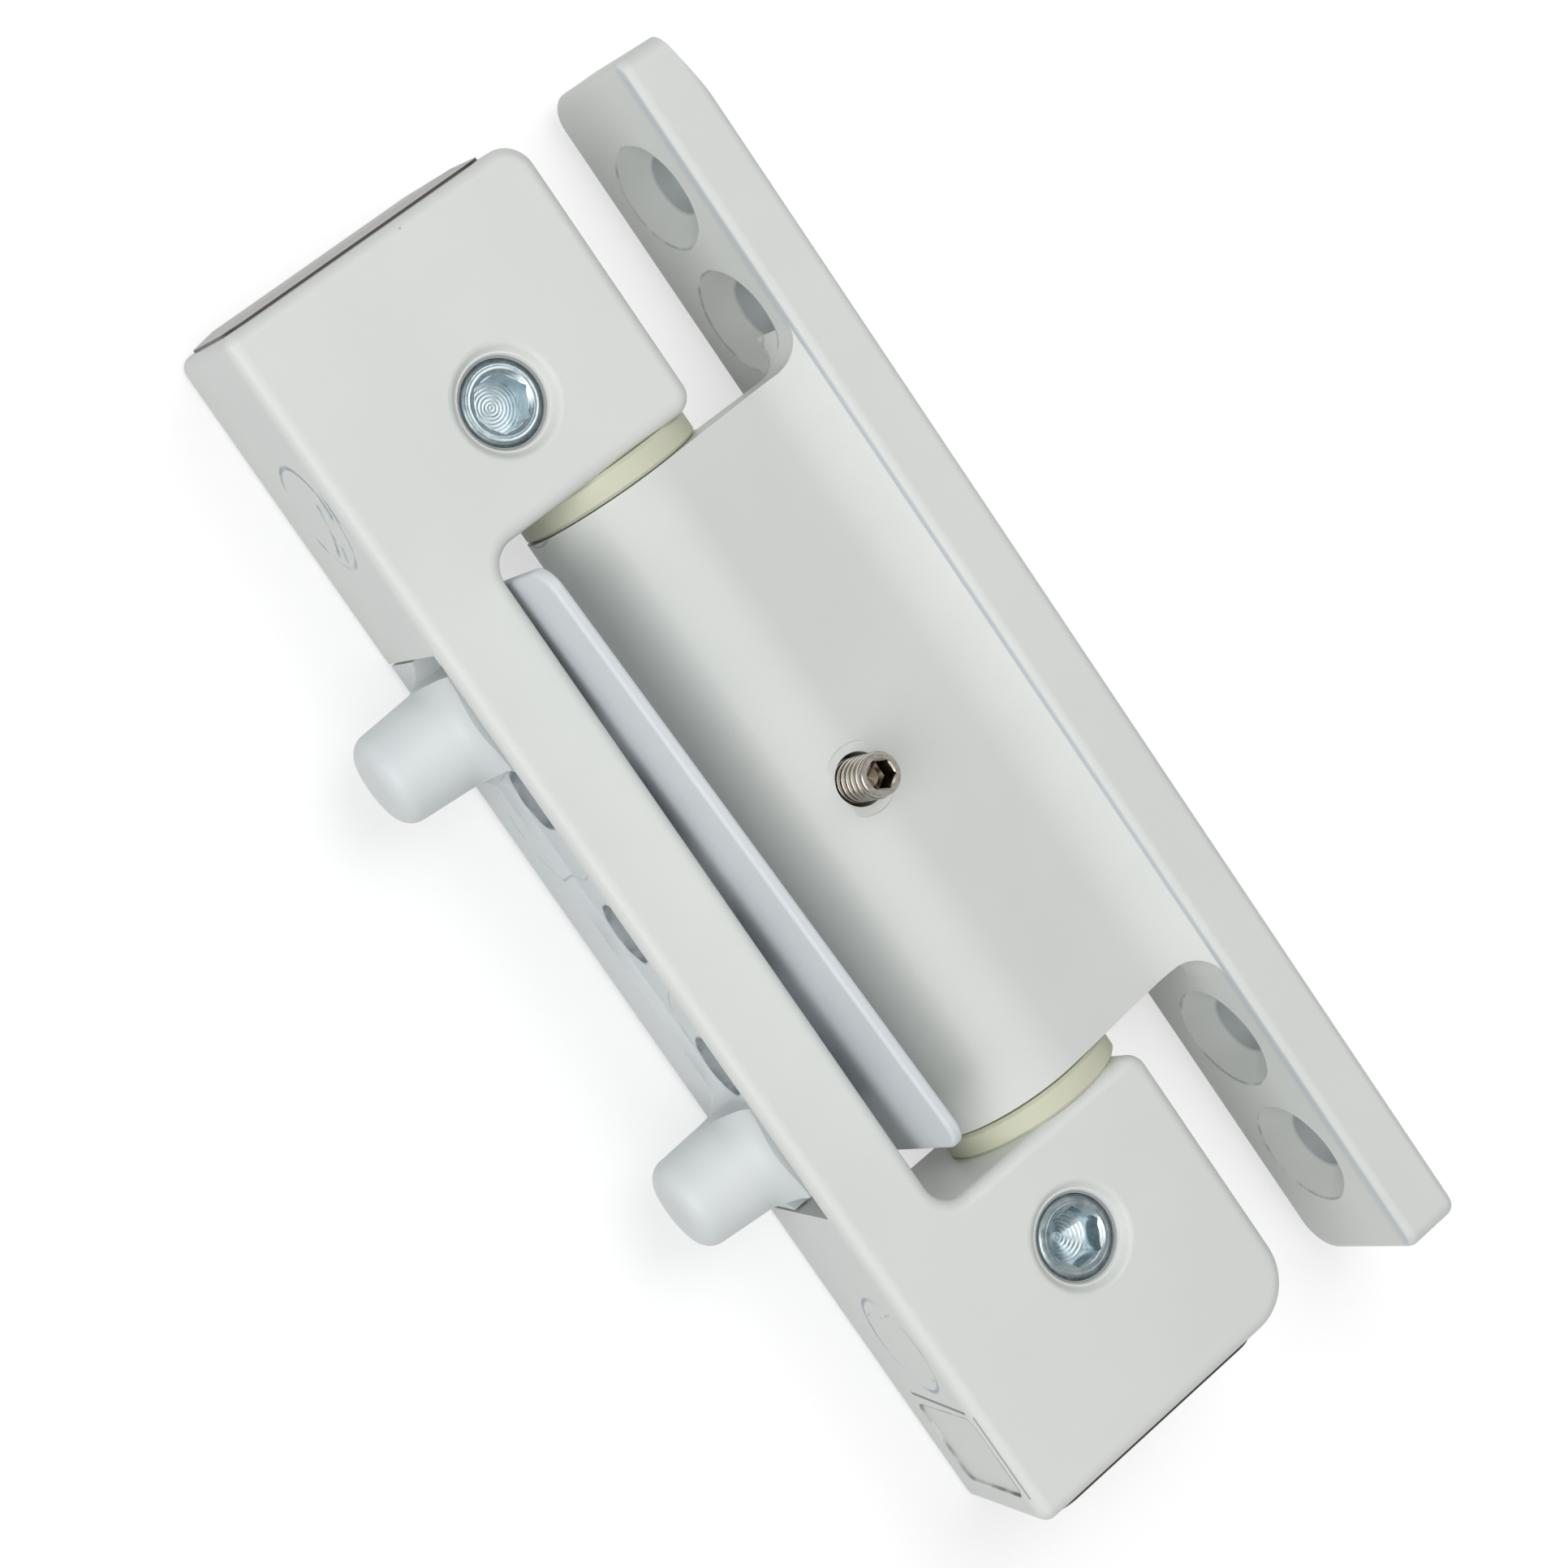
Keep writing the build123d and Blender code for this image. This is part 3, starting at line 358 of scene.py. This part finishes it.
def coated_body():
    material = powder_coat("powder_coated_zinc_body")
    draw(material, EJECTOR_BLUE, 0.85, on_side(ring_mark, (47.2, 1.0), 5.4, 0.44), 5.0)
    for start, end in UPPER_SCRATCHES:
        draw(material, EJECTOR_BLUE, 0.85, on_side(stroke_mark, start, end, 0.5), 3.0)
    draw(material, EJECTOR_BLUE, 0.85, on_side(ring_mark, (-45.0, 2.0), 5.3, 0.4), 6.0)
    for start, end in LOWER_SCRATCHES:
        draw(material, EJECTOR_BLUE, 0.5, on_side(stroke_mark, start, end, 0.3), 0.9)
    # Painted shade: a dark ring round each depth screw, where the gap between screw and bore lies in shade
    draw(material, "#5a6268", 0.6, band(depth_screw_distance, 3.9, 4.2, 0.1))
    draw(material, FIELD_GREY, 0.8, on_side(box_outline, FIELD_CENTRE, FIELD_SIZE, FIELD_CORNER, 0.22), 6.0)
    draw(material, FIELD_GREY, 0.95, on_side(stroke_mark, (-51.5, -5.2), (-52.1, 7.6), 0.34))
    draw(material, FIELD_GREY, 0.55, on_side(stroke_mark, (-52.7, 8.5), (-62.0, 8.5), 0.16))
    return material


# Leaf casting: the coat is thin and bluish in the crease along the plate and chipped at the holes' rims
CREASE_X = (19.98, 20.06)
CREASE_RISE_Z = (7.6, 8.4)
PLATE_BACK_X = 22.0


def coated_leaf():
    material = powder_coat("powder_coated_zinc_leaf")

    def crease(tree, mm):
        x, _, z = parts(tree, mm)
        return maths(tree, "MULTIPLY", ramp(tree, z, *CREASE_RISE_Z), between(tree, x, *CREASE_X, 0.12))

    draw(material, "#a9b7c8", 0.5, crease)
    draw(material, "#9fabb3", 0.7, left_of(PLATE_BACK_X, band(sash_hole_distance, 5.5, 5.62, 0.1)), 2.6)
    draw(material, "#a3b0b5", 0.5, band(sash_hole_distance, 3.0, 3.2, 0.15))
    return material


# Carrier casting: the holes break through a skin that is ragged at their rims, and ejector pins left arcs
def coated_carrier():
    # Its coat is a little bluer than the body's: painted light, the cooler light on its faces that turn to -X
    material = powder_coat("powder_coated_zinc_carrier", "#e4e8e9", "#dfe4e6")
    draw(material, "#a2aab0", 0.55, band(frame_hole_distance, 3.0, 3.25, 0.1))
    draw(material, "#7f8c94", 0.8, band(frame_hole_distance, 3.22, 3.34, 0.12), 1.6)
    for centre, radius in (((13.0, 0.9), 6.0), ((-10.6, 4.6), 5.3)):
        draw(material, "#8d98a0", 0.6, on_side(ring_mark, centre, radius, 0.22), 3.5)
    return material


# Blue zinc plate on turned steel: cool grey, with the rings that the lathe left
ZINC_BLOTCH_MM = 5 / 6
LATHE_RING_MM = 0.34
LATHE_WANDER_MM = 0.12


def zinc_plate(name):
    material, tree, shader, mm = start_material(name)
    blotch = noise(tree, mm, ZINC_BLOTCH_MM, 3.0)
    mottle(tree, shader, ramp(tree, blotch, 0.3, 0.7), "#b2c3cb", "#d3dee1")
    vary_gloss(tree, shader, blotch, 0.2, 0.38)
    from_axis = maths(tree, "MULTIPLY_ADD", blotch, LATHE_WANDER_MM, depth_screw_distance(tree, mm))
    rings = maths(tree, "SINE", maths(tree, "MULTIPLY", from_axis, 2 * math.pi / LATHE_RING_MM))
    roughen(tree, shader, rings, 0.35)
    shader.inputs["Metallic"].default_value = 1.0
    return material


# Stainless steel, rolled and turned: warm grey with a fine grain
STEEL_GRAIN_MM = 0.4


def stainless(name):
    material, tree, shader, mm = start_material(name)
    grain = noise(tree, mm, STEEL_GRAIN_MM, 4.0)
    mottle(tree, shader, grain, "#b9b1a6", "#d6d0c8")
    vary_gloss(tree, shader, grain, 0.16, 0.4)
    shader.inputs["Metallic"].default_value = 1.0
    return material


# Natural nylon, moulded: ivory, slightly see-through, of a gloss that is uneven in small patches
NYLON_CLOUD_MM = 10 / 3
NYLON_GLOSS_MM = 0.5


def natural_nylon(name):
    material, tree, shader, mm = start_material(name)
    mottle(tree, shader, noise(tree, mm, NYLON_CLOUD_MM, 3.0), "#dddec8", "#d3d5bd")
    vary_gloss(tree, shader, noise(tree, mm, NYLON_GLOSS_MM, 2.0), 0.35, 0.6)
    shader.inputs["IOR"].default_value = 1.53
    shader.inputs["Subsurface Weight"].default_value = 0.15
    shader.inputs["Subsurface Scale"].default_value = 1.0 * MM
    return material


# Moulded ABS caps: greyer and flatter than the castings, with the mould's spark texture, and a dark band
# painted at the seam as the shade in the gap between cap and body
CAP_SEAM_SHADE = (64.9, 65.25)
CAP_CLOUD_MM = 5.0
SPARK_MM = 0.25


def moulded_abs(name):
    material, tree, shader, mm = start_material(name)
    mottle(tree, shader, noise(tree, mm, CAP_CLOUD_MM, 3.0), "#c9c8c4", "#c3c2bf")

    def seam_shade(tree, mm):
        along = maths(tree, "ABSOLUTE", parts(tree, mm)[1])
        return between(tree, along, *CAP_SEAM_SHADE, 0.04)

    # Painted shade: the gap at the seam between cap and body is painted dark brown
    draw(material, "#33291f", 0.95, seam_shade)
    roughen(tree, shader, noise(tree, mm, SPARK_MM, 2.0), 0.3)
    shader.inputs["Roughness"].default_value = 0.42
    shader.inputs["IOR"].default_value = 1.54
    return material


# Set screw: where it stands, its thread and its hexagon socket
SET_SCREW_Y = -0.1
SET_SCREW_TOP = 13.5
SET_SCREW_FOOT = 3.5
THREAD_PITCH = 1.0
THREAD_TURNS = 8.0
THREAD_TOP = SET_SCREW_TOP - 0.62
CREST_RADIUS = 2.28
ROOT_RADIUS = 1.9
SOCKET_FLATS = 2.5
SOCKET_DEPTH = 2.4
SOCKET_MOUTH_RADIUS = SOCKET_FLATS / 2 * 1.17
SOCKET_POINT_RADIUS = SOCKET_FLATS / 2 * 0.75
ROUND_STEPS = 72

# Hardened set screw: the stainless steel, with a brown painted shade deep in its socket
SOCKET_SHADE_RADIUS = 1.42
SOCKET_SHADE_DEPTH = (0.05, 0.2)


def socket_shaded_steel():
    material = stainless("stainless_steel_screw")

    def socket(tree, mm):
        x, y, z = parts(tree, mm)
        away = vector_maths(tree, "DISTANCE", joined(tree, x, y), (0.0, SET_SCREW_Y, 0.0))
        inside = between(tree, away, -1.0, SOCKET_SHADE_RADIUS, 0.06)
        deep = ramp(tree, z, *(SET_SCREW_TOP - depth for depth in SOCKET_SHADE_DEPTH))
        return maths(tree, "MULTIPLY", inside, deep)

    # Painted shade: brown deep in the socket, where the recess lies in shade
    draw(material, "#5d4f38", 0.85, socket)
    return material


def wear(material, *nodes):
    """Gives CAD nodes their material."""
    for node in nodes:
        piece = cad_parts[node]
        piece.data.materials.clear()
        piece.data.materials.append(material)


screw_steel = socket_shaded_steel()
wear(coated_body(), "hinge_body")
wear(coated_carrier(), "carrier")
wear(coated_leaf(), "sash_leaf")
# The guard strip's coat is a little bluer than the body's: painted light, the cooler light on its face that
# turns to -X
wear(powder_coat("powder_coated_sheet_steel", "#e3e8ec", "#dfe5e9", 0.38), "guard_strip")
wear(moulded_abs("moulded_abs_cap"), "end_cap_upper", "end_cap_lower")
wear(natural_nylon("natural_nylon"), "bush_upper", "bush_lower")
wear(zinc_plate("blue_zinc_plated_steel"), "depth_screw_upper", "depth_screw_lower", "strip_screws")
wear(stainless("ground_stainless_pin"), "hinge_pin")


# The set screw's shape: a turned core with its socket, and the thread wound on it
def hexagon(flats):
    """Radius of a hexagon at an angle, from its width across flats."""
    return lambda angle: flats / 2 / math.cos((angle + math.pi / 6) % (math.pi / 3) - math.pi / 6)


def turned_mesh(name, rings, foot, tip):
    """A closed shell through rings of (height, radius or radius by angle), with a point at each end."""
    points, faces = [], []
    for height, radius in rings:
        for step in range(ROUND_STEPS):
            angle = 2 * math.pi * step / ROUND_STEPS
            r = radius(angle) if callable(radius) else radius
            points.append(at(r * math.cos(angle), SET_SCREW_Y + r * math.sin(angle), height))
    for ring in range(len(rings) - 1):
        for step in range(ROUND_STEPS):
            a, b = ring * ROUND_STEPS + step, ring * ROUND_STEPS + (step + 1) % ROUND_STEPS
            faces.append((a, b, b + ROUND_STEPS, a + ROUND_STEPS))
    last = (len(rings) - 1) * ROUND_STEPS
    points += [at(0, SET_SCREW_Y, foot), at(0, SET_SCREW_Y, tip)]
    for step in range(ROUND_STEPS):
        following = (step + 1) % ROUND_STEPS
        faces.append((following, step, len(points) - 2))
        faces.append((last + step, last + following, len(points) - 1))
    mesh = bpy.data.meshes.new(name)
    mesh.from_pydata(points, [], faces)
    return mesh


# Of the thread's depth, the radius of the three-sided section that is swept; and its steps in a turn
SECTION_SHARE = 0.72
HELIX_STEPS = 48


def thread_tree(material):
    """Winds a sharp ridge on a screw: a helix of the pitch, with a three-sided section swept along it."""
    tree = bpy.data.node_groups.new("screw_thread", "GeometryNodeTree")
    tree.is_modifier = True
    tree.interface.new_socket("Geometry", in_out="INPUT", socket_type="NodeSocketGeometry")
    for name in ("Pitch", "Turns", "Root Radius", "Crest Radius"):
        tree.interface.new_socket(name, in_out="INPUT", socket_type="NodeSocketFloat")
    tree.interface.new_socket("Start", in_out="INPUT", socket_type="NodeSocketVector")
    tree.interface.new_socket("Geometry", in_out="OUTPUT", socket_type="NodeSocketGeometry")
    sizes = add(tree, "NodeGroupInput").outputs
    height = maths(tree, "MULTIPLY", sizes["Pitch"], sizes["Turns"])
    depth = maths(tree, "SUBTRACT", sizes["Crest Radius"], sizes["Root Radius"])
    section = maths(tree, "MULTIPLY", depth, SECTION_SHARE)
    middle = maths(tree, "SUBTRACT", sizes["Crest Radius"], section)
    helix = add(tree, "GeometryNodeCurveSpiral", {"Resolution": HELIX_STEPS, "Rotations": sizes["Turns"],
                                                   "Start Radius": middle, "End Radius": middle,
                                                   "Height": height})
    upright = add(tree, "GeometryNodeSetCurveNormal", {"Curve": helix.outputs[0]}, mode="Z_UP")
    profile = add(tree, "GeometryNodeCurvePrimitiveCircle", {"Resolution": 3, "Radius": section})
    ridge = add(tree, "GeometryNodeCurveToMesh", {"Curve": upright.outputs[0],
                                                   "Profile Curve": profile.outputs[0], "Fill Caps": True})
    placed = add(tree, "GeometryNodeTransform", {"Geometry": ridge.outputs[0], "Translation": sizes["Start"]})
    together = add(tree, "GeometryNodeJoinGeometry")
    tree.links.new(sizes["Geometry"], together.inputs[0])
    tree.links.new(placed.outputs[0], together.inputs[0])
    real = add(tree, "GeometryNodeRealizeInstances", {"Geometry": together.outputs[0]})
    finish = add(tree, "GeometryNodeSetMaterial", {"Geometry": real.outputs[0], "Material": material})
    add(tree, "NodeGroupOutput", {"Geometry": finish.outputs[0]})
    return tree


def make_set_screw(material):
    """The set screw in one piece."""
    socket = hexagon(SOCKET_FLATS)
    floor = SET_SCREW_TOP - SOCKET_DEPTH
    # From the chamfered foot up the shank and its collar, over the rim and down the socket to its point
    rings = [(SET_SCREW_FOOT + 0.1, ROOT_RADIUS - 0.5), (SET_SCREW_FOOT + 0.5, ROOT_RADIUS),
             (SET_SCREW_TOP - 0.35, ROOT_RADIUS + 0.15), (SET_SCREW_TOP - 0.1, ROOT_RADIUS + 0.1),
             (SET_SCREW_TOP, ROOT_RADIUS), (SET_SCREW_TOP, SOCKET_MOUTH_RADIUS),
             (SET_SCREW_TOP - 0.1, socket), (floor, socket), (floor - 0.25, SOCKET_POINT_RADIUS)]
    core = turned_mesh("set_screw_core", rings, SET_SCREW_FOOT, floor - 0.6)
    screw = bpy.data.objects.new("set_screw", core)
    bpy.context.scene.collection.objects.link(screw)
    tree = thread_tree(material)
    winding = screw.modifiers.new("thread", "NODES")
    winding.node_group = tree
    start = at(0, SET_SCREW_Y, THREAD_TOP - THREAD_TURNS * THREAD_PITCH)
    sizes = {"Pitch": THREAD_PITCH * MM, "Turns": THREAD_TURNS, "Root Radius": ROOT_RADIUS * MM,
             "Crest Radius": CREST_RADIUS * MM, "Start": tuple(start)}
    for item in tree.interface.items_tree:
        if item.in_out == "INPUT" and item.name in sizes:
            winding[item.identifier] = sizes[item.name]
    bpy.context.view_layer.update()
    wound = bpy.data.meshes.new_from_object(screw.evaluated_get(bpy.context.evaluated_depsgraph_get()))
    screw.modifiers.remove(winding)
    screw.data = wound
    return screw


set_screw = make_set_screw(screw_steel)
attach(set_screw, "leaf_side")
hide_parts("pin_set_screw")


# Studio: white paper and a soft tent of light, cooler towards the horizon
WORLD_LIGHT = 0.35
SKY_FULL_HEIGHT = 0.8
FLOOR_SIZE = 4.0
FLOOR_GAP = 0.0002
# The lamps fall off with distance, so the paper glows more there; near the part it keeps the shadow
GLOW_DISTANCE = (0.12, 0.5)
GLOW_STRENGTH = (0.55, 0.85)


def lay_floor():
    """The paper that the hinge lies on."""
    mesh = bpy.data.meshes.new("studio_floor")
    half = FLOOR_SIZE / 2
    floor_z = cad_box[0][2] - FLOOR_GAP
    corners = [(x * half, y * half, floor_z) for x, y in ((-1, -1), (1, -1), (1, 1), (-1, 1))]
    mesh.from_pydata(corners, [], [(0, 1, 2, 3)])
    floor = bpy.data.objects.new("studio_floor", mesh)
    bpy.context.scene.collection.objects.link(floor)
    material = bpy.data.materials.new("white_floor")
    material.use_nodes = True
    tree = material.node_tree
    shader = tree.nodes["Principled BSDF"]
    shader.inputs["Roughness"].default_value = 0.9
    shader.inputs["Specular IOR Level"].default_value = 0.0
    ray = add(tree, "ShaderNodeLightPath").outputs
    seen = maths(tree, "MAXIMUM", ray["Is Camera Ray"], ray["Is Glossy Ray"])
    mottle(tree, shader, seen, "#e8e8e8", "#f9f9f9")
    place = add(tree, "ShaderNodeTexCoord").outputs["Object"]
    glow = ramp(tree, vector_maths(tree, "LENGTH", place), *GLOW_DISTANCE, *GLOW_STRENGTH,
                interpolation_type="SMOOTHSTEP")
    tree.links.new(maths(tree, "MULTIPLY", seen, glow), shader.inputs["Emission Strength"])
    shader.inputs["Emission Color"].default_value = srgb("#ffffff")
    mesh.materials.append(material)
    return floor


def light_world():
    """The tent: white where the camera sees it, and a low even light on everything."""
    world = bpy.data.worlds.new("light_tent")
    bpy.context.scene.world = world
    world.use_nodes = True
    tree = world.node_tree
    background = tree.nodes["Background"]
    direction = add(tree, "ShaderNodeTexCoord").outputs["Generated"]
    up = ramp(tree, parts(tree, direction)[2], 0.0, SKY_FULL_HEIGHT)
    tree.links.new(paint_over(tree, up, srgb("#f3fbff"), srgb("#fffffd")), background.inputs["Color"])
    seen = add(tree, "ShaderNodeLightPath").outputs["Is Camera Ray"]
    tree.links.new(ramp(tree, seen, 0.0, 1.0, WORLD_LIGHT, 1.0), background.inputs["Strength"])


def area_light(name, place, size, power, receivers=None):
    """A lamp aimed at the pin; where it lights only some things, the collection of receivers says which."""
    data = bpy.data.lights.new(name, "AREA")
    data.shape = "RECTANGLE"
    data.size, data.size_y = size
    data.energy = power
    lamp = bpy.data.objects.new(name, data)
    aim = (PIN - place).to_track_quat("-Z", "Y").to_matrix().to_4x4()
    lamp.matrix_world = Matrix.Translation(place) @ aim
    bpy.context.scene.collection.objects.link(lamp)
    if receivers:
        lamp.light_linking.receiver_collection = receivers


def all_but(floor):
    """Receivers of a lamp that leaves the floor out, so that it doesn't wash the part's shadow away."""
    receivers = bpy.data.collections.new("all_but_floor")
    receivers.objects.link(floor)
    receivers.collection_objects[0].light_linking.link_state = "EXCLUDE"
    return receivers


all_but_floor = all_but(lay_floor())
light_world()
area_light("window_light", at(200, 220, 720), (0.5, 0.5), 1.2)
area_light("front_fill", at(-280, 60, 540), (0.7, 0.7), 1.1, all_but_floor)
area_light("side_fill", at(-560, 40, 400), (0.6, 0.4), 1.5, all_but_floor)
